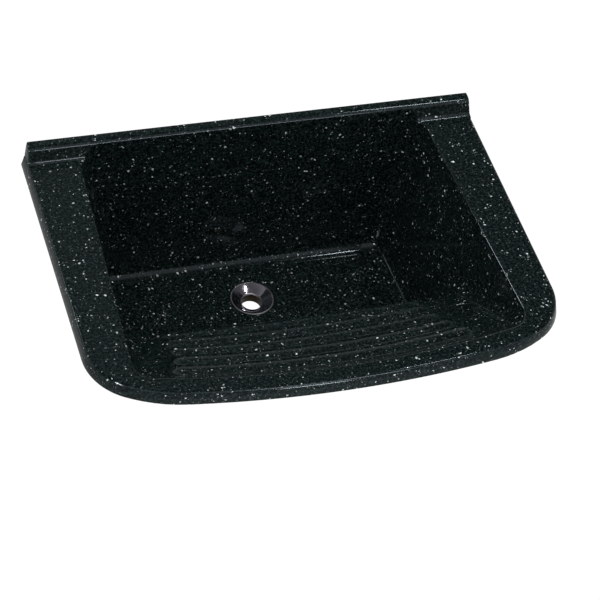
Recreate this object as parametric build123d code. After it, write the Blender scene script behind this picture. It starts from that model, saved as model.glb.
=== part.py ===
from build123d import *
import math
import os

os.makedirs("parts", exist_ok=True)

# A wall-hung laundry sink, cast in one piece, with a dished waste in its floor.
# Frame: x runs across, the wall is the plane y = 0 and the user stands at -y,
# and z = 0 is the top of the deck. Millimetres.

# Deck outline, seen from above
deck_width = 600.0
deck_depth = 436.7
corner_run = 100.0
corner_radius = 73.2
shoulder_radius = 182.7
front_radius = 1458.7
deck_thickness = 8.0

# Down-turned edge
skirt_depth = 17.3
skirt_wall = 8.0
skirt_flare = 4.0
deck_edge_radius = 3.5

# Upstand along the wall
upstand_height = 22.2
upstand_top = 12.0
upstand_nose_radius = 6.0

# Bowl
shell_wall = 8.0
bowl_depth = 222.5
bowl_back = 22.4
bowl_half_width = 233.4
bowl_side_splay = 0.0494
side_draft = 0.147
back_draft = 0.030
bowl_corner_radius = 28.0
floor_fillet = 18.0
rim_edge_radius = 3.5
rim_facets = 3
rim_back_clearance = 0.5

# Washboard: height and reach of its three breaks, from the rim down to the floor
rim_reach = 415.8
rim_bow_radius = 1200.0
riser_reach = 383.4
riser_drop = 32.6
nose_reach = 240.0
nose_drop = 109.8
wall_foot_reach = 180.0
straight_bow_radius = 12000.0

# Washboard ribs, counted up the slope
rib_pitch = 30.65
rib_gap = 3.0
rib_height = 6.0
first_rib_width = 19.0
first_rib_height = 4.5
rib_half_lengths = (179.0, 180.0, 182.0, 187.0, 196.0)
rib_bow_radii = (1940.0, 1570.0, 1240.0, 1210.0, 1150.0)

# Drain seat in the floor
drain_reach = 97.8
seat_thickness = 10.0
seat_boss_radius = 38.0
flange_gap = 0.6
tail_gap = 1.0

# Dished waste
flange_radius = 29.6
flange_lip = 1.6
flange_proud = 0.8
dish_depth = 7.5
dish_wall = 2.0
throat_radius = 13.5
tail_radius = 16.62
tail_length = 21.3

# Sealing rings and nut
seal_thickness = 1.5
gasket_thickness = 3.0
gasket_width = 11.0
washer_thickness = 1.0
ring_gap = 0.4
nut_height = 5.0
nut_across_flats = 50.0
nut_chamfer = 1.2


def outline(grow, level):
    """Deck outline at a height, grown outwards on the sides and the front."""
    half = deck_width / 2
    corner_y = -(deck_depth - corner_run)
    corner_x = half - corner_radius
    front_y = front_radius - deck_depth
    swing = shoulder_radius - corner_radius
    off_x = corner_x
    off_y = corner_y - front_y
    reach = math.hypot(off_x, off_y)
    share = ((front_radius - shoulder_radius) ** 2 - reach ** 2 - swing ** 2) / (2 * swing * reach)
    turn = math.atan2(off_y, -off_x) + math.acos(share)
    turn = (turn + math.pi) % (2 * math.pi) - math.pi
    shoulder_x = corner_x - swing * math.cos(turn)
    shoulder_y = corner_y + swing * math.sin(turn)
    lean = math.atan2(shoulder_y - front_y, shoulder_x)

    def on_arc(cx, cy, radius, angle):
        return (cx + (radius + grow) * math.cos(angle), cy + (radius + grow) * math.sin(angle))

    side = (half + grow, corner_y)
    corner_mid = on_arc(corner_x, corner_y, corner_radius, -turn / 2)
    corner_end = on_arc(corner_x, corner_y, corner_radius, -turn)
    shoulder_mid = on_arc(shoulder_x, shoulder_y, shoulder_radius, (lean - turn) / 2)
    shoulder_end = on_arc(shoulder_x, shoulder_y, shoulder_radius, lean)
    apex = (0, -deck_depth - grow)

    def mirrored(point):
        return (-point[0], point[1])

    edges = [
        Line(mirrored(side), (-half - grow, 0)),
        Line((-half - grow, 0), (half + grow, 0)),
        Line((half + grow, 0), side),
        ThreePointArc(side, corner_mid, corner_end),
        ThreePointArc(corner_end, shoulder_mid, shoulder_end),
        ThreePointArc(shoulder_end, apex, mirrored(shoulder_end)),
        ThreePointArc(mirrored(shoulder_end), mirrored(shoulder_mid), mirrored(corner_end)),
        ThreePointArc(mirrored(corner_end), mirrored(corner_mid), mirrored(side)),
    ]
    return Pos(0, 0, level) * make_face(edges)


def front_breaks(offset):
    """Reach and level of the bowl's front, from the rim down, moved outwards by an offset."""
    breaks = [
        (rim_reach, 0.0),
        (riser_reach, -riser_drop),
        (nose_reach, -nose_drop),
        (wall_foot_reach, -bowl_depth),
        (0.0, -bowl_depth),
    ]
    normals = []
    for upper, lower in zip(breaks, breaks[1:]):
        run = (lower[0] - upper[0], lower[1] - upper[1])
        length = math.hypot(run[0], run[1])
        normals.append((-run[1] / length, run[0] / length))
    moved = []
    for index, (reach, level) in enumerate(breaks[:-1]):
        after = normals[index]
        if index == 0:
            moved.append((reach + offset / after[0], level))
            continue
        before = normals[index - 1]
        spread = offset / (1 + before[0] * after[0] + before[1] * after[1])
        moved.append((reach + spread * (before[0] + after[0]), level + spread * (before[1] + after[1])))
    return moved


def bowl_section(reach, level, bow_radius, offset, back_offset):
    """Plan of the bowl at a height, with the front as a shallow arc."""
    back = -bowl_back + back_draft * level + back_offset
    half_back = bowl_half_width + side_draft * level + offset
    half_front = half_back + bowl_side_splay * (reach + back)
    sag = bow_radius - math.sqrt(bow_radius ** 2 - half_front ** 2)
    corner = reach - sag
    half_front = half_back + bowl_side_splay * (corner + back)
    edges = [
        Line((-half_back, back), (half_back, back)),
        Line((half_back, back), (half_front, -corner)),
        ThreePointArc((half_front, -corner), (0, -reach), (-half_front, -corner)),
        Line((-half_front, -corner), (-half_back, back)),
    ]
    face = make_face(edges)
    face = fillet(face.vertices(), bowl_corner_radius + offset)
    return Pos(0, 0, level) * face


def bowl_form(offset):
    """The bowl's space, or with an offset the outside of its shell."""
    bows = (rim_bow_radius, rim_bow_radius, straight_bow_radius, straight_bow_radius)
    sections = []
    for (reach, level), bow in zip(front_breaks(offset), bows):
        sections.append(bowl_section(reach, level, bow, offset, offset))
    return loft(sections, ruled=True)


def rim_rounding():
    """What the rounded rim takes off the casting, in narrow facets, clear of the upstand's foot."""
    rounding = [(-1.3 * rim_edge_radius, -0.12 * rim_edge_radius)]
    for step in range(1, rim_facets + 1):
        angle = math.radians(90 * step / rim_facets)
        rounding.append((-rim_edge_radius * (1 - math.sin(angle)), rim_edge_radius * (1 - math.cos(angle))))
    rounding.append((0.1 * rim_edge_radius, 1.4 * rim_edge_radius))
    sections = []
    for level, outset in rounding:
        reach = rim_reach + outset + level * (rim_reach - riser_reach) / riser_drop
        sections.append(bowl_section(reach, level, rim_bow_radius + outset, outset, -rim_back_clearance))
    return loft(sections, ruled=True)


def slope_point(reach):
    """Level of the washboard's slope at a reach from the wall."""
    rise = (nose_drop - riser_drop) / (riser_reach - nose_reach)
    return -nose_drop + rise * (reach - nose_reach)


def rib_bar(reach, width, height, half_length, bow_radius):
    """A long round bar with ball ends, sunk in the slope so that a low rib stands out."""
    lean = math.atan2(nose_drop - riser_drop, riser_reach - nose_reach)
    chord = width / math.cos(lean)
    radius = (chord ** 2 / 4 + height ** 2) / (2 * height)
    sunk = radius - height
    centre_y = -reach - sunk * math.sin(lean)
    centre_z = slope_point(reach) - sunk * math.cos(lean)
    half_run = half_length - chord / 2
    swing = math.degrees(math.asin(half_run / bow_radius))
    axis = Axis((0, centre_y + bow_radius, 0), (0, 0, 1))
    disc = Plane((0, centre_y, centre_z), x_dir=(0, 1, 0), z_dir=(1, 0, 0)) * Circle(radius)
    bar = revolve(disc.rotate(axis, -swing), axis, 2 * swing)
    ball = Pos(0, centre_y, centre_z) * Sphere(radius)
    return bar + ball.rotate(axis, swing) + ball.rotate(axis, -swing)


def ribs():
    """All the ribs, the lowest one narrower because it starts at the nose."""
    bars = []
    for index, (half_length, bow_radius) in enumerate(zip(rib_half_lengths, rib_bow_radii)):
        groove = riser_reach - (len(rib_half_lengths) - 1 - index) * rib_pitch
        width = first_rib_width if index == 0 else rib_pitch - rib_gap
        height = first_rib_height if index == 0 else rib_height
        middle = groove - rib_gap / 2 - width / 2
        bars.append(rib_bar(middle, width, height, half_length, bow_radius))
    return bars


def upstand():
    """Low kerb along the wall, flush with the deck's ends."""
    section = make_face(Polyline(
        (0, -deck_thickness / 2),
        (0, upstand_height),
        (-upstand_top, upstand_height),
        (-bowl_back, 0),
        (-bowl_back, -deck_thickness / 2),
        close=True,
    ))
    nose = section.vertices().sort_by(Axis.Y)[2]
    section = fillet(nose, upstand_nose_radius)
    return extrude(Plane.YZ * section, deck_width / 2, both=True)


def seat_underside():
    """Level of the floor's underside at the drain."""
    return -bowl_depth - seat_thickness


def flange_top():
    """Level of the flange's rim."""
    return -bowl_depth + flange_proud


def dish_level(radius, below):
    """Level of a cone parallel to the dish, a distance below it, at a radius."""
    mouth = flange_radius - flange_lip
    return flange_top() - below - (mouth - radius) * dish_depth / (mouth - throat_radius)


def turned(points):
    """Solid turned about the drain's upright axis from points of radius and level."""
    section = make_face(Polyline(*points, close=True))
    return Pos(0, -drain_reach, 0) * revolve(Plane.XZ * section, Axis.Z)


def ring(inner, outer, bottom, height):
    """Flat ring round the drain's axis."""
    return turned([(inner, bottom), (outer, bottom), (outer, bottom + height), (inner, bottom + height)])


def drain_hole():
    """Hole through the floor: the flange's recess, a cone under the dish and the tail's hole."""
    recess = flange_radius + flange_gap
    tail_hole = tail_radius + tail_gap
    below = dish_wall + seal_thickness
    return turned([
        (0, -bowl_depth + 1),
        (recess, -bowl_depth + 1),
        (recess, dish_level(recess, below)),
        (tail_hole, dish_level(tail_hole, below)),
        (tail_hole, seat_underside() - 1),
        (0, seat_underside() - 1),
    ])


def basin():
    """The casting."""
    body = loft([outline(0, 0), outline(skirt_flare, -skirt_depth)], ruled=True)
    rim = body.faces().sort_by(Axis.Z)[-1].outer_wire().edges()
    body = fillet(rim.filter_by(lambda edge: edge.center().Y < -1), deck_edge_radius)
    hollow = loft([
        outline(-skirt_wall, -deck_thickness),
        outline(skirt_flare - skirt_wall, -skirt_depth - 1),
    ], ruled=True)
    wall_strip = Pos(0, 0, -skirt_depth) * Box(2 * deck_width, 2 * skirt_wall, 2 * skirt_depth)
    body -= hollow - wall_strip
    body += upstand()
    shell = bowl_form(shell_wall)
    shell = fillet(shell.faces().sort_by(Axis.Z)[0].outer_wire().edges(), floor_fillet + shell_wall)
    body += shell
    body += ring(0, seat_boss_radius, seat_underside(), seat_thickness - shell_wall / 2)
    body -= rim_rounding()
    space = bowl_form(0)
    space = fillet(space.faces().sort_by(Axis.Z)[0].outer_wire().edges(), floor_fillet)
    for bar in ribs():
        space -= bar
    body -= space
    return body - drain_hole()


def waste_body():
    """Flange with its dish and throat, and the tail below the floor."""
    bottom = flange_top() - tail_length
    return turned([
        (throat_radius, bottom),
        (tail_radius, bottom),
        (tail_radius, dish_level(tail_radius, dish_wall)),
        (flange_radius, dish_level(flange_radius, dish_wall)),
        (flange_radius, flange_top()),
        (flange_radius - flange_lip, flange_top()),
        (throat_radius, flange_top() - dish_depth),
    ])


def flange_seal():
    """Cone-shaped ring between the dish and its seat."""
    inner = tail_radius + tail_gap
    return turned([
        (inner, dish_level(inner, dish_wall + seal_thickness)),
        (flange_radius, dish_level(flange_radius, dish_wall + seal_thickness)),
        (flange_radius, dish_level(flange_radius, dish_wall)),
        (inner, dish_level(inner, dish_wall)),
    ])


def floor_gasket():
    """Soft ring on the floor's underside."""
    inner = tail_radius + ring_gap
    return ring(inner, inner + gasket_width, seat_underside() - gasket_thickness, gasket_thickness)


def friction_washer():
    """Hard ring under the gasket."""
    inner = tail_radius + ring_gap
    bottom = seat_underside() - gasket_thickness - washer_thickness
    return ring(inner, inner + gasket_width, bottom, washer_thickness)


def backnut():
    """Hexagon nut on the tail, with its corners turned off below."""
    top = seat_underside() - gasket_thickness - washer_thickness
    bottom = top - nut_height
    corner = nut_across_flats / math.sqrt(3)
    blank = Pos(0, -drain_reach, bottom) * extrude(RegularPolygon(corner, 6), nut_height)
    turned_down = turned([
        (0, bottom),
        (corner - nut_chamfer, bottom),
        (corner, bottom + nut_chamfer),
        (corner, top),
        (0, top),
    ])
    return (blank & turned_down) - ring(0, tail_radius, bottom - 1, nut_height + 2)


pieces = {
    "basin": basin,
    "waste_body": waste_body,
    "flange_seal": flange_seal,
    "floor_gasket": floor_gasket,
    "friction_washer": friction_washer,
    "backnut": backnut,
}
for name, make in pieces.items():
    solid = make()
    solid.label = name
    export_step(solid, f"parts/{name}.step")
    print(name, round(solid.volume / 1000, 1), "cm3")
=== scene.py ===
import math

import bmesh
import bpy
import numpy as np
from mathutils import Matrix, Vector


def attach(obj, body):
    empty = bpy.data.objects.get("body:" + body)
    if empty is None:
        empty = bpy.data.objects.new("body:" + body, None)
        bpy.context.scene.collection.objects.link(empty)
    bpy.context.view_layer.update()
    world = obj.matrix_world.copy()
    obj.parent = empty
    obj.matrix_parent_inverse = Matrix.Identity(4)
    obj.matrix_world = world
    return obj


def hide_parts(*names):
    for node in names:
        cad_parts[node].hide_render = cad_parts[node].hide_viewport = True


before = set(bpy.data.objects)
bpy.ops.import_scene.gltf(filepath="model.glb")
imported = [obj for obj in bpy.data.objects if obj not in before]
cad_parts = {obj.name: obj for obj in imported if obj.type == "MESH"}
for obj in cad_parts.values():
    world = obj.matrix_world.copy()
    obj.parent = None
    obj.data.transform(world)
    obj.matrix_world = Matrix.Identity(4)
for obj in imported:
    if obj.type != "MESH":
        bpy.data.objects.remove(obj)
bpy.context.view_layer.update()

# Camera: a long lens looks down into the sink from the user's left, tipped a little
# to one side. Its place is in metres from the middle of the sink's wall face.
camera_place = Vector((-0.86665, -2.17654, 2.17201))
camera_turn = math.radians(24.257)
camera_dip = math.radians(46.599)
camera_tip = math.radians(10.418)
camera_lens = 146.46
sensor_width = 36.0
nearest_seen = 0.01

look = Vector((
    math.sin(camera_turn) * math.cos(camera_dip),
    math.cos(camera_turn) * math.cos(camera_dip),
    -math.sin(camera_dip),
))
level_right = look.cross(Vector((0, 0, 1))).normalized()
level_down = look.cross(level_right)
right = math.cos(camera_tip) * level_right - math.sin(camera_tip) * level_down
down = math.sin(camera_tip) * level_right + math.cos(camera_tip) * level_down
camera_data = bpy.data.cameras.new("camera")
camera_data.lens = camera_lens
camera_data.sensor_width = sensor_width
camera_data.clip_start = nearest_seen
camera = bpy.data.objects.new("camera", camera_data)
camera.matrix_world = Matrix.Translation(camera_place) @ Matrix((right, -down, -look)).transposed().to_4x4()
bpy.context.scene.collection.objects.link(camera)
bpy.context.scene.camera = camera
bpy.context.scene.view_settings.view_transform = "Standard"

# Casting: black mineral-filled resin with flecks of white stone, polished by its mould.
# One wall of even thickness forms the deck, its turned-down edge, the bowl, the ribbed
# washboard and the drain seat. It is built as closed lines of points, from the drain out.
shell_wall = 0.008
bowl_back = 0.0153
bowl_half = 0.2334
bowl_splay = 0.0494
bowl_drop = 0.2225
bowl_corner = 0.028
tightest_corner = 0.006
side_draft = 0.147
back_draft = 0.062
floor_fillet = 0.018
rim_radius = 0.0022
bow_half = 0.190
bow_reaches = (0.180, 0.240, 0.2608, 0.2915, 0.3221, 0.3528, 0.3834, 0.4158)
bow_sags = (0.0015, 0.0015, 0.0093, 0.0115, 0.0140, 0.0149, 0.0152, 0.0152)

back_steps = 26
back_corner_steps = 12
side_steps = 56
front_corner_steps = 20
front_steps = 56


def spread(start, stop, steps):
    """Even values from start towards stop, the stop itself left out."""
    return [start + (stop - start) * step / steps for step in range(steps)]


def round_arc(centre, radius, angles):
    """Points at angles on a circle."""
    return [(centre[0] + radius * math.cos(a), centre[1] + radius * math.sin(a)) for a in angles]


def bow_radius(reach):
    """Radius of the shallow curve that the washboard follows at a reach from the wall."""
    sag = float(np.interp(reach, bow_reaches, bow_sags))
    return bow_half ** 2 / (2 * sag) + sag / 2


def bowl_plan(level, reach, inset, back_inset=None):
    """Right half of the bowl's outline at a level, from the middle of the back to the front."""
    back_inset = inset if back_inset is None else back_inset
    back = -bowl_back + back_draft * level - back_inset
    half = bowl_half + side_draft * level - inset
    bow = bow_radius(reach) - inset
    corner = max(bowl_corner - inset, tightest_corner)
    slant = math.hypot(1, bowl_splay)
    along = np.array((bowl_splay, -1)) / slant
    outward = np.array((1, bowl_splay)) / slant
    start = np.array((half, back)) - corner * outward
    centre = np.array((0.0, bow_radius(reach) - reach))
    gap = start - centre
    turn = gap @ along
    front_corner = start + along * (-turn + math.sqrt(turn ** 2 - gap @ gap + (bow - corner) ** 2))
    back_corner = start + along * ((back - corner - start[1]) / along[1])
    side_angle = math.atan2(bowl_splay, 1)
    front_angle = math.atan2(front_corner[1] - centre[1], front_corner[0] - centre[0])
    side_start = back_corner + corner * outward
    side_stop = front_corner + corner * outward
    points = [(x, back) for x in spread(0, back_corner[0], back_steps)]
    points += round_arc(back_corner, corner, spread(math.pi / 2, side_angle, back_corner_steps))
    points += [tuple(side_start + (side_stop - side_start) * t) for t in spread(0, 1, side_steps)]
    points += round_arc(front_corner, corner, spread(side_angle, front_angle, front_corner_steps))
    points += round_arc(centre, bow, spread(front_angle, -math.pi / 2, front_steps))
    points.append((0, centre[1] - bow))
    return np.array([(x, y, level) for x, y in points])


# The deck's outline has as many points as the bowl's, each about in line with its like.
deck_half = 0.300
deck_reach = 0.4367
side_reach = 0.3367
corner_radius = 0.0732
shoulder_radius = 0.1827
front_radius = 1.4587


def deck_plan(level, grow, back):
    """Right half of the deck's outline at a level: straight side, two-radius corner, bowed front."""
    centre_y = front_radius - deck_reach
    corner = np.array((deck_half - corner_radius, -side_reach))
    swing = shoulder_radius - corner_radius
    span = math.hypot(corner[0], corner[1] - centre_y)
    share = ((front_radius - shoulder_radius) ** 2 - span ** 2 - swing ** 2) / (2 * swing * span)
    turn = math.atan2(corner[1] - centre_y, -corner[0]) + math.acos(share)
    turn = (turn + math.pi) % (2 * math.pi) - math.pi
    shoulder = corner + swing * np.array((-math.cos(turn), math.sin(turn)))
    lean = math.atan2(shoulder[1] - centre_y, shoulder[0])
    side = deck_half + grow
    fan = -bowl_back - bowl_corner
    points = [(x, back) for x in spread(0, side, back_steps)]
    points += [(side, y) for y in spread(back, fan, back_corner_steps)]
    points += [(side, y) for y in spread(fan, -side_reach, side_steps)]
    for angle in spread(0, lean, front_corner_steps):
        centre, radius = (corner, corner_radius) if angle > -turn else (shoulder, shoulder_radius)
        points += round_arc(centre, radius + grow, [angle])
    points += round_arc((0, centre_y), front_radius + grow, spread(lean, -math.pi / 2, front_steps))
    points.append((0, -deck_reach - grow))
    return np.array([(x, y, level) for x, y in points])


# The front's profile, as reach from the wall and level: steep wall, washboard, rim.
wall_foot = (0.180, -bowl_drop)
nose = (0.240, -0.1098)
last_groove = (0.3834, -0.0326)
rim_edge = (0.4158, 0.0)
nose_radius = 0.012
groove_radius = 0.010


def between(first, second, share):
    """What lies a share of the way from the first value, point or line to the second."""
    return np.array(first) * (1 - share) + np.array(second) * share


def quarter(steps):
    """Pairs that turn from (0, 1) to (1, 0) along a quarter circle round (1, 1)."""
    return [(1 - math.cos(a), 1 - math.sin(a)) for a in np.linspace(0, math.pi / 2, steps + 1)]


def reach_at(level, lower, upper):
    """Reach of the profile at a level between two of its corners."""
    return np.interp(level, (lower[1], upper[1]), (lower[0], upper[0]))


def profile_arc(before, corner, after, radius, steps):
    """Points of the rounding at a corner of a profile, ends included."""
    before, corner, after = np.array(before), np.array(corner), np.array(after)
    into = (corner - before) / np.linalg.norm(corner - before)
    out = (after - corner) / np.linalg.norm(after - corner)
    turn = math.acos(into @ out)
    start = corner - into * radius * math.tan(turn / 2)
    side = out - into * (into @ out)
    side /= np.linalg.norm(side)
    return [tuple(start + radius * (into * math.sin(a) + side * (1 - math.cos(a))))
            for a in np.linspace(0, turn, steps + 1)]


def profile_offset(points, distance):
    """The front's profile moved outwards, each corner along its mitre."""
    points = [np.array(p) for p in points]
    runs = [(b - a) / np.linalg.norm(b - a) for a, b in zip(points, points[1:])]
    normals = [np.array((run[1], -run[0])) for run in runs]
    normals = [np.array((0.0, -1.0))] + normals + [np.array((0.0, 1.0))]
    moved = []
    for point, before, after in zip(points, normals, normals[1:]):
        moved.append(point + (before + after) * distance / (1 + before @ after))
    return moved


# Ribs: five low bars with rounded ends that stand on the washboard's slope.
rib_pitch = 0.03065
rib_gap = 0.003
rib_height = 0.006
first_rib_width = 0.019
first_rib_height = 0.0045
rib_halves = (0.179, 0.180, 0.182, 0.187, 0.196)
rib_softness = 0.0006
off_rib = -1.0

slope_lean = math.atan2(last_groove[1] - nose[1], last_groove[0] - nose[0])
slope_normal = np.array((0.0, math.sin(slope_lean), math.cos(slope_lean)))


def rib_rise(reach, across):
    """Height of the ribs above the slope, for a line at a reach, at places across the sink."""
    rise = np.full(across.shape, off_rib)
    for index, half in enumerate(rib_halves):
        groove = last_groove[0] - (len(rib_halves) - 1 - index) * rib_pitch
        width = first_rib_width if index == 0 else rib_pitch - rib_gap
        height = first_rib_height if index == 0 else rib_height
        chord = width / math.cos(slope_lean)
        radius = (chord ** 2 / 4 + height ** 2) / (2 * height)
        off_crest = (reach - (groove - rib_gap / 2 - width / 2)) / math.cos(slope_lean)
        past_end = np.maximum(np.abs(across) - (half - chord / 2), 0)
        dome = np.maximum(radius ** 2 - off_crest ** 2 - past_end ** 2, 0)
        rise = np.maximum(rise, np.sqrt(dome) - (radius - height))
    return rib_softness * np.logaddexp(0, rise / rib_softness)


def slope_ring(reach, level):
    """One line round the bowl at the washboard, lifted where the ribs are."""
    ring = bowl_plan(level, reach, 0)
    front = slice(-(front_steps + 1), None)
    ring[front] += rib_rise(reach, ring[front, 0])[:, None] * slope_normal
    return ring


# Drain seat: a recess for the flange, with a softened edge, and a hole for the tail.
drain_reach = 0.0978
flange_recess = 0.0302
recess_level = -bowl_drop - 0.00156
seat_softening = 0.0008
mid_softening = 0.3 * seat_softening
tail_hole = 0.01762
cone_level = -bowl_drop - 0.0081
boss_radius = 0.038
boss_taper = 0.0005
boss_level = -bowl_drop - 0.010

drain = np.array((0, -drain_reach))
floor_plan = bowl_plan(-bowl_drop, wall_foot[0], floor_fillet)
heading = floor_plan[:, :2] - drain
heading /= np.linalg.norm(heading, axis=1)[:, None]
heading[0] = (0, 1)
heading[-1] = (0, -1)


def drain_ring(radius, level):
    """A circle round the drain, its points in line with those of the floor's edge."""
    flat = drain + heading * radius
    return np.column_stack((flat, np.full(len(flat), level)))


seat_edge = drain_ring(flange_recess + seat_softening, -bowl_drop)
rings = [
    drain_ring(flange_recess, recess_level),
    drain_ring(flange_recess, -bowl_drop - seat_softening),
    drain_ring(flange_recess + mid_softening, -bowl_drop - mid_softening),
]

# Floor, its fillet, and the walls up to the washboard's foot.
fillet_steps = 8
nose_steps = 8
rings += [between(seat_edge, floor_plan, share) for share in (0, 0.03, 0.1, 0.22, 0.4, 0.6, 0.8)]
for rise, inset in quarter(fillet_steps):
    level = -bowl_drop + floor_fillet * rise
    rings.append(bowl_plan(level, reach_at(level, wall_foot, nose), floor_fillet * inset))
nose_arc = profile_arc(wall_foot, nose, last_groove, nose_radius, nose_steps)
for share in (0.25, 0.5, 0.75):
    level = between(-bowl_drop + floor_fillet, nose_arc[0][1], share)
    rings.append(bowl_plan(level, reach_at(level, wall_foot, nose), 0))

# Washboard, with lines close enough together to round its ribs.
slope_lines = 64
groove_steps = 5
groove_arc = profile_arc(nose, last_groove, rim_edge, groove_radius, groove_steps)
slope_shares = np.linspace(0, 1, slope_lines + 2)[1:-1]
slope_run = [between(nose_arc[-1], groove_arc[0], share) for share in slope_shares]
rings += [slope_ring(reach, level) for reach, level in nose_arc + slope_run + groove_arc]

# Rim of the bowl, with the front's last stretch under it.
rim_steps = 7
for share in (0.3, 0.6):
    level = between(groove_arc[-1][1], -rim_radius, share)
    rings.append(bowl_plan(level, rim_edge[0] + level, 0))
for fall, grow in reversed(quarter(rim_steps)):
    level = -rim_radius * fall
    rings.append(bowl_plan(level, rim_edge[0] + level, -rim_radius * grow, 0))

# Deck, its rounded edge, and the skirt, which flares a little and is flat along the wall.
edge_radius = 0.0035
skirt_drop = 0.0173
skirt_flare = 0.0039
skirt_lip_radius = 0.0006
skirt_back = -0.006
edge_steps = 7
lip_steps = 3
opening = rings[-1]
deck_edge = deck_plan(0, -edge_radius, 0)
rings += [between(opening, deck_edge, share) for share in (0.12, 0.35, 0.65, 0.88)]
for fall, inset in quarter(edge_steps):
    level = -edge_radius * fall
    rings.append(deck_plan(level, -edge_radius * inset - skirt_flare * level / skirt_drop, 0))
rings.append(deck_plan(-skirt_drop / 2, skirt_flare / 2, 0))
for inset, rise in quarter(lip_steps):
    level = -skirt_drop + skirt_lip_radius * rise
    rings.append(deck_plan(level, skirt_flare - skirt_lip_radius * inset, 0))
for inset, rise in reversed(quarter(lip_steps)):
    level = -skirt_drop + skirt_lip_radius * rise
    rings.append(deck_plan(level, skirt_flare - shell_wall + skirt_lip_radius * inset, skirt_back))

# Underside: the same forms, one wall further out, down to the boss round the tail's hole.
under_nose_steps = 4
under_groove_steps = 3
under_fillet_steps = 6
under_fillet = floor_fillet + shell_wall
underside = -bowl_drop - shell_wall
outer = profile_offset([(0, -bowl_drop), wall_foot, nose, last_groove, rim_edge], shell_wall)
outer_nose = profile_arc(outer[1], outer[2], outer[3], nose_radius + shell_wall, under_nose_steps)
outer_groove = profile_arc(outer[2], outer[3], outer[4], groove_radius, under_groove_steps)
under_edge = deck_plan(-shell_wall, -shell_wall, skirt_back)
under_rim = reach_at(-shell_wall, outer[3], outer[4])
under_opening = bowl_plan(-shell_wall, under_rim - shell_wall, -shell_wall)
rings += [between(under_edge, under_opening, share) for share in (0, 0.5, 1)]
for reach, level in outer_groove[::-1] + outer_nose[::-1]:
    rings.append(bowl_plan(level, reach - shell_wall, -shell_wall))
for rise, inset in reversed(quarter(under_fillet_steps)):
    level = underside + under_fillet * rise
    reach = reach_at(level, outer[1], outer[2])
    rings.append(bowl_plan(level, reach - shell_wall, under_fillet * inset - shell_wall))
under_floor = rings[-1]
boss = drain_ring(boss_radius, underside)
rings += [between(under_floor, boss, share) for share in (0.4, 0.8, 1)]
rings.append(drain_ring(boss_radius - boss_taper, boss_level))
rings.append(drain_ring(tail_hole, boss_level))
rings.append(drain_ring(tail_hole, cone_level))

# The lines are the rows of a grid, bent round on itself both ways. The last row meets the
# first in the cone under the flange.
same_place = 1e-6
ring_count = len(rings)
half_count = len(rings[0]) - 1
casting = bmesh.new()
bmesh.ops.create_grid(casting, x_segments=ring_count, y_segments=2 * half_count, size=1)
for vert in casting.verts:
    row = round((vert.co.x + 1) / 2 * ring_count) % ring_count
    column = round((vert.co.y + 1) * half_count) % (2 * half_count)
    mirrored = column > half_count
    x, y, z = rings[row][2 * half_count - column if mirrored else column]
    vert.co = (-x if mirrored else x, y, z)
bmesh.ops.remove_doubles(casting, verts=casting.verts, dist=same_place)
bmesh.ops.recalc_face_normals(casting, faces=casting.faces)

# Upstand: a low rail of the same casting along its wall edge, with a rounded brow. It meets
# the ledges in a soft cove, and between them its face runs straight on into the bowl's back.
upstand_rise = 0.0222
upstand_top = 0.012
upstand_foot = 0.0224
upstand_root = 0.004
upstand_lean = 0.0015
crest_radius = 0.0007
brow_radius = 0.009
cove_radius = 0.008
cove_start = 0.213
cove_full = 0.237
corner_start = 0.196
root_inset = 0.0004
end_softening = 0.0015
lowest_softening = 0.001
no_limit = -1
crest_steps = 3
brow_steps = 10
toe_steps = 5
end_steps = 3
middle_stations = 12
corner_stations = 30
ledge_stations = 8

wall_top = (0, upstand_rise)
brow_edge = (-upstand_top, upstand_rise)
foot = np.array((-upstand_foot, 0))
crest = profile_arc((0, 0), wall_top, brow_edge, crest_radius, crest_steps)
brow = profile_arc(wall_top, brow_edge, foot, brow_radius, brow_steps)
toe = profile_arc(brow_edge, foot, (-2 * upstand_foot, 0), cove_radius, toe_steps)
face = [between(brow[-1], toe[0], share) for share in (0.25, 0.5, 0.75)]
plain_toe = [face[-1] + (foot - face[-1]) * step / len(toe) for step in range(1, len(toe) + 1)]
back_root = (-upstand_root, -upstand_root)
front_root = (-upstand_foot + upstand_root, -upstand_root)
rail_profile = [back_root, (0, 0), *crest, *brow, *face, *toe, front_root]
profile_count = len(rail_profile)
first_toe = profile_count - 1 - len(toe)

stations = [
    *np.linspace(0, corner_start, middle_stations)[:-1],
    *np.linspace(corner_start, cove_full, corner_stations),
    *np.linspace(cove_full, deck_half, ledge_stations)[1:],
]
stations = [-x for x in stations[:0:-1]] + stations
mouth = bowl_plan(0, rim_edge[0], -rim_radius, 0)[:back_steps + back_corner_steps]

# From station to station the foot changes from plain, along the bowl, to its cove on the
# ledges, and the face never stands in front of the bowl's edge.
upstand = bmesh.new()
bmesh.ops.create_grid(upstand, x_segments=len(stations) - 1, y_segments=profile_count, size=1)
for vert in upstand.verts:
    x = stations[round((vert.co.x + 1) / 2 * (len(stations) - 1))]
    point = round((vert.co.y + 1) / 2 * profile_count) % profile_count
    y, z = rail_profile[point]
    cove = min(max((abs(x) - cove_start) / (cove_full - cove_start), 0), 1)
    cove = cove * cove * (3 - 2 * cove)
    if first_toe <= point < profile_count - 1:
        y, z = between(plain_toe[point - first_toe], (y, z), cove)
    if point == profile_count - 1:
        y = between(y, toe[-1][0] + upstand_root, cove)
    rise = max(z, 0)
    buried = z < 0
    bowl_edge = np.interp(abs(x) - side_draft * rise, mouth[:, 0], mouth[:, 1], right=no_limit)
    y = max(y, bowl_edge + back_draft * rise + (upstand_root if buried else 0))
    if abs(x) == deck_half:
        side = deck_half - upstand_lean * z / upstand_rise - (root_inset if buried else 0)
        x = math.copysign(side, x)
    vert.co = (x, y, z)
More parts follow.
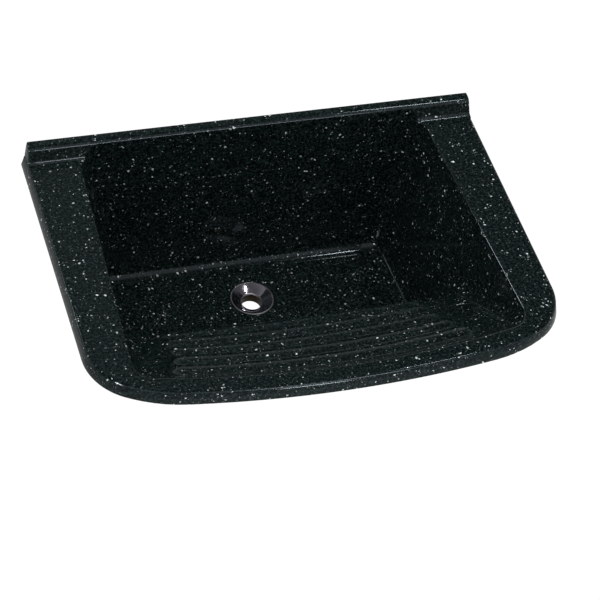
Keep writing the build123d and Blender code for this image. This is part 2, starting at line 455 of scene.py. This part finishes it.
bmesh.ops.remove_doubles(upstand, verts=upstand.verts, dist=same_place)

# The ends are closed and their edges eased, all but those at the foot.
bmesh.ops.holes_fill(upstand, edges=[edge for edge in upstand.edges if edge.is_boundary])
end_edges = [
    edge for edge in upstand.edges
    if len({len(side.verts) > 4 for side in edge.link_faces}) == 2
    and min(vert.co.z for vert in edge.verts) > lowest_softening
]
bmesh.ops.bevel(upstand, geom=end_edges, offset=end_softening, offset_type="OFFSET", segments=end_steps,
                profile=0.5, affect="EDGES", material=-1)
bmesh.ops.recalc_face_normals(upstand, faces=upstand.faces)


def new_piece(name, shape):
    """Object in the scene from a finished bmesh."""
    data = bpy.data.meshes.new(name)
    shape.to_mesh(data)
    shape.free()
    piece = bpy.data.objects.new(name, data)
    bpy.context.scene.collection.objects.link(piece)
    return piece


# The two shapes are joined into the one casting that they are.
sharp_bend = math.radians(38)
shell = new_piece("casting_shell", casting)
rail = new_piece("casting_upstand", upstand)
union = shell.modifiers.new("upstand", "BOOLEAN")
union.operation = "UNION"
union.solver = "MANIFOLD"
union.object = rail
joined = bpy.data.meshes.new_from_object(shell.evaluated_get(bpy.context.evaluated_depsgraph_get()))
bpy.data.objects.remove(rail)
bpy.data.objects.remove(shell)
tub = bpy.data.objects.new("stone_tub", joined)
bpy.context.scene.collection.objects.link(tub)
for polygon in joined.polygons:
    polygon.use_smooth = True
joined.set_sharp_from_angle(angle=sharp_bend)

# Stone: dark green-black ground with fine grain. The chips are cells of three sizes, drawn by
# lot and more of them in some places than in others: cells in a metre, share, whiteness.
chip_sizes = (
    (900.0, 0.0130, 0.20),
    (640.0, 0.0060, 0.70),
    (430.0, 0.0034, 0.90),
)
fewest_chips = 0.15
most_chips = 2.0
chip_red = 0.92
chip_bend = 0.0012


def flecked_stone(name, roughness, gloss, dark, middle, light):
    """Stone-filled resin: grainy ground in three tones, with angular white chips of three sizes."""
    material = bpy.data.materials.new(name)
    material.use_nodes = True
    tree = material.node_tree
    link = tree.links.new
    shader = tree.nodes["Principled BSDF"]
    shader.inputs["Roughness"].default_value = roughness
    shader.inputs["Specular IOR Level"].default_value = gloss
    # The gloss is tinted blue: a painted bluish cast of the light from above on every highlight and
    # reflection.
    shader.inputs["Specular Tint"].default_value = (0.80, 0.92, 1.0, 1)
    place = tree.nodes.new("ShaderNodeTexCoord").outputs["Object"]
    grain = tree.nodes.new("ShaderNodeTexNoise")
    grain.inputs["Scale"].default_value = 300.0
    grain.inputs["Detail"].default_value = 3.0
    grain.inputs["Roughness"].default_value = 0.62
    link(place, grain.inputs["Vector"])
    ground = tree.nodes.new("ShaderNodeValToRGB")
    ground.color_ramp.elements[0].position = 0.42
    ground.color_ramp.elements[0].color = (*dark, 1)
    ground.color_ramp.elements[1].position = 0.64
    ground.color_ramp.elements[1].color = (*light, 1)
    centre = ground.color_ramp.elements.new(0.51)
    centre.color = (*middle, 1)
    link(grain.outputs["Fac"], ground.inputs["Fac"])
    ripple = tree.nodes.new("ShaderNodeTexNoise")
    ripple.inputs["Scale"].default_value = 520.0
    link(place, ripple.inputs["Vector"])
    warped = tree.nodes.new("ShaderNodeVectorMath")
    warped.operation = "MULTIPLY_ADD"
    warped.inputs[1].default_value = (chip_bend, chip_bend, chip_bend)
    link(ripple.outputs["Color"], warped.inputs[0])
    link(place, warped.inputs[2])
    cluster = tree.nodes.new("ShaderNodeTexNoise")
    cluster.inputs["Scale"].default_value = 55.0
    cluster.inputs["Detail"].default_value = 2.0
    link(place, cluster.inputs["Vector"])
    tone = ground.outputs["Color"]
    for scale, share, white in chip_sizes:
        cells = tree.nodes.new("ShaderNodeTexVoronoi")
        cells.inputs["Scale"].default_value = scale
        link(warped.outputs["Vector"], cells.inputs["Vector"])
        draws = tree.nodes.new("ShaderNodeSeparateColor")
        link(cells.outputs["Color"], draws.inputs["Color"])
        crowd = tree.nodes.new("ShaderNodeMapRange")
        crowd.inputs["From Min"].default_value = 0.36
        crowd.inputs["From Max"].default_value = 0.62
        crowd.inputs["To Min"].default_value = fewest_chips * share
        crowd.inputs["To Max"].default_value = most_chips * share
        link(cluster.outputs["Fac"], crowd.inputs["Value"])
        chosen = tree.nodes.new("ShaderNodeMath")
        chosen.operation = "LESS_THAN"
        link(draws.outputs["Red"], chosen.inputs[0])
        link(crowd.outputs["Result"], chosen.inputs[1])
        depth = tree.nodes.new("ShaderNodeMapRange")
        depth.inputs["To Min"].default_value = 0.25
        link(draws.outputs["Green"], depth.inputs["Value"])
        cover = tree.nodes.new("ShaderNodeMath")
        cover.operation = "MULTIPLY"
        link(chosen.outputs["Value"], cover.inputs[0])
        link(depth.outputs["Result"], cover.inputs[1])
        paint = tree.nodes.new("ShaderNodeMix")
        paint.data_type = "RGBA"
        paint.inputs["B"].default_value = (white * chip_red, white, white, 1)
        link(cover.outputs["Value"], paint.inputs["Factor"])
        link(tone, paint.inputs["A"])
        tone = paint.outputs["Result"]
    link(tone, shader.inputs["Base Color"])
    return material


stone = flecked_stone(
    "flecked_stone",
    roughness=0.09,
    gloss=0.28,
    dark=(0.0016, 0.0035, 0.0033),
    middle=(0.0056, 0.0109, 0.0103),
    light=(0.0165, 0.0275, 0.0270),
)
tub.data.materials.clear()
tub.data.materials.append(stone)
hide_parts("basin")
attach(tub, "root")

# Waste: a turned brass fitting with a dished flange, chromed where it shows and let into the
# floor. Its tail goes down through the floor and is threaded for the backnut.
flange_radius = 0.0296
flange_lip = 0.0016
flange_proud = 0.0008
dish_depth = 0.0075
dish_wall = 0.002
throat_radius = 0.0135
tail_radius = 0.01662
tail_length = 0.0213
rim_softening = 0.0006
lip_softening = 0.0016
thread_pitch = 0.0018
thread_depth = 0.0005
thread_rings = 44
turn_steps = 96

flange_top = flange_proud - bowl_drop
tail_foot = flange_top - tail_length
dish_mouth = flange_radius - flange_lip
dish_foot = flange_top - dish_depth
dish_slope = dish_depth / (dish_mouth - throat_radius)
tail_top = flange_top - dish_wall - (dish_mouth - tail_radius) * dish_slope
brim_foot = flange_top - dish_wall + flange_lip * dish_slope

# Half of its section is turned once round the drain's axis.
turning = bmesh.new()
corners = [turning.verts.new((radius, 0, level)) for radius, level in (
    (tail_radius, tail_foot),
    (tail_radius, tail_top),
    (flange_radius, brim_foot),
    (flange_radius, flange_top),
    (dish_mouth, flange_top),
    (throat_radius, dish_foot),
    (throat_radius, tail_foot),
)]
section_edges = [turning.edges.new((corner, corners[step - 1])) for step, corner in enumerate(corners)]
tail_edge = section_edges[1]
bmesh.ops.subdivide_edges(turning, edges=[tail_edge], cuts=thread_rings)
bmesh.ops.spin(turning, geom=turning.verts[:] + turning.edges[:], cent=(0, 0, 0), axis=(0, 0, 1),
               angle=math.tau, steps=turn_steps, use_merge=True)
bmesh.ops.recalc_face_normals(turning, faces=turning.faces[:])


def ring_edges(radius, level):
    """Edges of the ring at a radius and level."""
    def on_ring(point):
        off_radius = math.hypot(point.co.x, point.co.y) - radius
        return math.hypot(off_radius, point.co.z - level) < same_place
    return [edge for edge in turning.edges if on_ring(edge.verts[0]) and on_ring(edge.verts[1])]


for radius, level, softening, steps in (
    (flange_radius, flange_top, 1.5 * rim_softening, 4),
    (dish_mouth, flange_top, rim_softening, 3),
    (throat_radius, dish_foot, lip_softening, 5),
    (throat_radius, tail_foot, rim_softening, 2),
):
    bmesh.ops.bevel(turning, geom=ring_edges(radius, level), offset=softening, segments=steps,
                    profile=0.5, affect="EDGES", material=-1)

# The thread winds up the tail and runs out over its first and last turn.
for point in turning.verts:
    radius = math.hypot(point.co.x, point.co.y)
    if abs(radius - tail_radius) > same_place:
        continue
    height = point.co.z - tail_foot
    phase = (height / thread_pitch + math.atan2(point.co.y, point.co.x) / math.tau) % 1
    run_out = min(1, height / thread_pitch, (tail_top - point.co.z) / thread_pitch)
    shrink = 1 - run_out * thread_depth * (1 - abs(2 * phase - 1)) / tail_radius
    point.co.x *= shrink
    point.co.y *= shrink

# The rim and the throat's lip get a rougher chrome of lighter tone, a painted highlight along
# these edges. The throat has no plating: it is bare brass painted nearly black, painted shade inside the
# tube.
bright = 0
highlight_edge = 1
shaded_bare = 2
shaded_bare_reach = throat_radius + 0.0001
highlight_edge_reach = throat_radius + 0.0014
for face in turning.faces:
    middle = face.calc_center_median()
    reach = math.hypot(middle.x, middle.y)
    face.smooth = True
    face.material_index = bright
    if reach < shaded_bare_reach:
        face.material_index = shaded_bare
    elif reach < highlight_edge_reach or reach > dish_mouth:
        face.material_index = highlight_edge
bmesh.ops.translate(turning, verts=turning.verts[:], vec=(0, -drain_reach, 0))
waste = new_piece("waste_turning", turning)
waste.data.set_sharp_from_angle(angle=sharp_bend)


def even_finish(name, metallic, dark, light, scale, smooth, rough):
    """Finish with little change in tone and in polish over its surface."""
    material = bpy.data.materials.new(name)
    material.use_nodes = True
    tree = material.node_tree
    link = tree.links.new
    shader = tree.nodes["Principled BSDF"]
    shader.inputs["Metallic"].default_value = metallic
    mottle = tree.nodes.new("ShaderNodeTexNoise")
    mottle.inputs["Scale"].default_value = scale
    mottle.inputs["Detail"].default_value = 4.0
    link(tree.nodes.new("ShaderNodeTexCoord").outputs["Object"], mottle.inputs["Vector"])
    tone = tree.nodes.new("ShaderNodeValToRGB")
    tone.color_ramp.elements[0].position = 0.3
    tone.color_ramp.elements[0].color = (*dark, 1)
    tone.color_ramp.elements[1].position = 0.7
    tone.color_ramp.elements[1].color = (*light, 1)
    link(mottle.outputs["Fac"], tone.inputs["Fac"])
    link(tone.outputs["Color"], shader.inputs["Base Color"])
    polish = tree.nodes.new("ShaderNodeMapRange")
    polish.inputs["From Min"].default_value = 0.3
    polish.inputs["From Max"].default_value = 0.7
    polish.inputs["To Min"].default_value = smooth
    polish.inputs["To Max"].default_value = rough
    link(mottle.outputs["Fac"], polish.inputs["Value"])
    link(polish.outputs["Result"], shader.inputs["Roughness"])
    return material


chrome = even_finish("chrome_plate", metallic=1.0, dark=(0.52, 0.50, 0.58), light=(0.64, 0.62, 0.70),
                     scale=60.0, smooth=0.07, rough=0.14)
# Rougher chrome for the rim and the throat's lip; its lighter tone is a painted highlight.
edge_highlight_chrome = even_finish("edge_highlight_chrome", metallic=1.0, dark=(0.60, 0.58, 0.62), light=(0.78, 0.76, 0.80),
                          scale=90.0, smooth=0.28, rough=0.42)
# Bare brass for the throat, painted nearly black: painted shade inside the tube.
throat_shade_brass = even_finish("shaded_throat_brass", metallic=1.0, dark=(0.020, 0.0145, 0.009), light=(0.050, 0.037, 0.022),
                    scale=180.0, smooth=0.30, rough=0.50)
waste.data.materials.append(chrome)
waste.data.materials.append(edge_highlight_chrome)
waste.data.materials.append(throat_shade_brass)
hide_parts("waste_body")
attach(waste, "root")

# Seals: two cut rings of soft black rubber, one under the flange in its seat and one pressed
# up against the floor from below. The nut squeezes both, so that no water passes.


def finish_solid(name, finish):
    """Give a plain solid its finish."""
    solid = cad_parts[name]
    solid.data.materials.clear()
    solid.data.materials.append(finish)


rubber = even_finish("black_rubber", metallic=0.0, dark=(0.010, 0.010, 0.011), light=(0.030, 0.030, 0.032),
                     scale=400.0, smooth=0.55, rough=0.75)
finish_solid("flange_seal", rubber)
finish_solid("floor_gasket", rubber)

# Washer: a hard moulded ring of white nylon between the lower seal and the nut. The nut
# turns on it and doesn't twist the rubber.
nylon = even_finish("white_nylon", metallic=0.0, dark=(0.60, 0.59, 0.55), light=(0.72, 0.71, 0.67),
                    scale=250.0, smooth=0.35, rough=0.50)
finish_solid("friction_washer", nylon)

# Backnut: a hexagon nut of bare brass, screwed up the tail from below. It pulls the flange
# down on its seat and so clamps the waste to the floor.
nut_brass = even_finish("nut_brass", metallic=1.0, dark=(0.55, 0.42, 0.20), light=(0.72, 0.57, 0.30),
                        scale=300.0, smooth=0.18, rough=0.34)
finish_solid("backnut", nut_brass)

# Floor: matt white paper, as far below the sink as such a sink hangs above a real floor.
# The camera sees it glow white under its shadows, and the sink's gloss sees it in grey.
floor_size = 14.0
mounting_height = 0.85
paper_white = 0.8
paper_in_gloss = 0.38
paper_in_view = 0.12
paper_glow = 0.92

bpy.ops.mesh.primitive_plane_add(size=floor_size, location=(0, 0, -mounting_height))
floor = bpy.context.object
floor.name = "studio_floor"
paper = bpy.data.materials.new("studio_paper")
paper.use_nodes = True
paper_nodes = paper.node_tree.nodes
paper_nodes.clear()
paper_link = paper.node_tree.links.new
paper_rays = paper_nodes.new("ShaderNodeLightPath")


def matt_paper(grey):
    """Paper of a grey tone."""
    matt = paper_nodes.new("ShaderNodeBsdfDiffuse")
    matt.inputs["Color"].default_value = (grey, grey, grey, 1)
    return matt.outputs["BSDF"]


def paper_by_ray(kind, for_others, for_kind):
    """Paper that looks one way to one kind of ray and another way to the others."""
    mix = paper_nodes.new("ShaderNodeMixShader")
    paper_link(paper_rays.outputs[kind], mix.inputs["Fac"])
    paper_link(for_others, mix.inputs[1])
    paper_link(for_kind, mix.inputs[2])
    return mix.outputs["Shader"]


glow = paper_nodes.new("ShaderNodeEmission")
glow.inputs["Color"].default_value = (1, 1, 1, 1)
glow.inputs["Strength"].default_value = paper_glow
seen_paper = paper_nodes.new("ShaderNodeAddShader")
paper_link(matt_paper(paper_in_view), seen_paper.inputs[0])
paper_link(glow.outputs["Emission"], seen_paper.inputs[1])
unseen_paper = paper_by_ray("Is Glossy Ray", matt_paper(paper_white), matt_paper(paper_in_gloss))
paper_surface = paper_by_ray("Is Camera Ray", unseen_paper, seen_paper.outputs["Shader"])
paper_output = paper_nodes.new("ShaderNodeOutputMaterial")
paper_link(paper_surface, paper_output.inputs["Surface"])
floor.data.materials.append(paper)

# Light: an even dome, brighter overhead, lights every side. Gloss shows a dim ceiling, a
# brighter wall behind the sink and a window high in front, and narrow lamps draw the lines
# along the sink's edges. The camera itself sees plain white.
white_sky = 1.0

world = bpy.data.worlds.new("studio")
world.use_nodes = True
bpy.context.scene.world = world
sky_nodes = world.node_tree.nodes
sky_link = world.node_tree.links.new
sky = sky_nodes["Background"]
sky.inputs["Color"].default_value = (1, 1, 1, 1)
sky_rays = sky_nodes.new("ShaderNodeLightPath")
direction = sky_nodes.new("ShaderNodeSeparateXYZ")
sky_link(sky_nodes.new("ShaderNodeTexCoord").outputs["Generated"], direction.inputs["Vector"])
sideways = direction.outputs["X"]
backwards = direction.outputs["Y"]
upwards = direction.outputs["Z"]


def fade(source, low, high, at_low, at_high):
    """Value that goes softly from one strength to another while its source goes from low to high."""
    blend = sky_nodes.new("ShaderNodeMapRange")
    blend.interpolation_type = "SMOOTHSTEP"
    blend.inputs["From Min"].default_value = low
    blend.inputs["From Max"].default_value = high
    blend.inputs["To Min"].default_value = at_low
    blend.inputs["To Max"].default_value = at_high
    sky_link(source, blend.inputs["Value"])
    return blend.outputs["Result"]


def add(first, second):
    """Sum of two strengths."""
    total = sky_nodes.new("ShaderNodeMath")
    sky_link(first, total.inputs[0])
    sky_link(second, total.inputs[1])
    return total.outputs["Value"]


def choose(factor, when_zero, when_one):
    """Mix of two strengths by a factor."""
    mix = sky_nodes.new("ShaderNodeMix")
    sky_link(factor, mix.inputs["Factor"])
    sky_link(when_zero, mix.inputs["A"])
    sky_link(when_one, mix.inputs["B"])
    return mix.outputs["Result"]


dome = fade(upwards, low=-0.2, high=1.0, at_low=0.08, at_high=1.30)
front_low = fade(upwards, low=-0.10, high=0.25, at_low=0.18, at_high=0.0)
front_height = fade(upwards, low=0.10, high=0.30, at_low=0.0, at_high=1.0)
front_window = fade(backwards, low=-0.60, high=-0.32, at_low=0.9, at_high=0.08)
front = add(front_low, choose(front_height, front_low, front_window))
ceiling = fade(sideways, low=0.18, high=0.38, at_low=0.20, at_high=0.05)
bright_wall = fade(upwards, low=0.30, high=0.64, at_low=0.35, at_high=0.0)
back = add(ceiling, bright_wall)
towards_back = fade(backwards, low=-0.2, high=0.3, at_low=0.0, at_high=1.0)
gloss = choose(towards_back, front, back)
unseen_sky = choose(sky_rays.outputs["Is Glossy Ray"], dome, gloss)
whole_sky = sky_nodes.new("ShaderNodeMix")
whole_sky.inputs["B"].default_value = white_sky
sky_link(sky_rays.outputs["Is Camera Ray"], whole_sky.inputs["Factor"])
sky_link(unseen_sky, whole_sky.inputs["A"])
sky_link(whole_sky.outputs["Result"], sky.inputs["Strength"])


def soft_lamp(name, place, aim, width, height, power, in_gloss=True, spread=180):
    """Flat lamp at a place, turned towards a point, that lights either gloss or all but gloss."""
    data = bpy.data.lights.new(name, "AREA")
    data.shape = "RECTANGLE"
    data.size = width
    data.size_y = height
    data.energy = power
    data.spread = math.radians(spread)
    lamp = bpy.data.objects.new(name, data)
    place = Vector(place)
    turn = (Vector(aim) - place).to_track_quat("-Z", "Y").to_matrix().to_4x4()
    lamp.matrix_world = Matrix.Translation(place) @ turn
    lamp.visible_camera = False
    lamp.visible_diffuse = not in_gloss
    lamp.visible_glossy = in_gloss
    bpy.context.scene.collection.objects.link(lamp)


soft_lamp("low_front", place=(0.0, -2.4, -0.5), aim=(0, -0.43, 0),
          width=2.0, height=0.5, power=18, in_gloss=False)
soft_lamp("front_strip", place=(0.62, -2.57, 1.08), aim=(0, -0.43, 0),
          width=0.9, height=0.2, power=11)
soft_lamp("front_glint", place=(0.5, -2.6, -0.46), aim=(-0.1, -0.43, 0),
          width=0.36, height=0.2, power=14)
soft_lamp("left_window", place=(-2.2, -1.8, 0.9), aim=(0.0, -0.1, -0.1),
          width=0.5, height=0.5, power=47)
soft_lamp("corner_spot", place=(0.915, -0.61, 1.91), aim=(0.14, -0.04, -0.2),
          width=0.08, height=0.3, power=5)
soft_lamp("rim_light", place=(-1.40, 0.80, 0.45), aim=(0.28, -0.30, 0),
          width=0.22, height=0.3, power=0.09, spread=20)
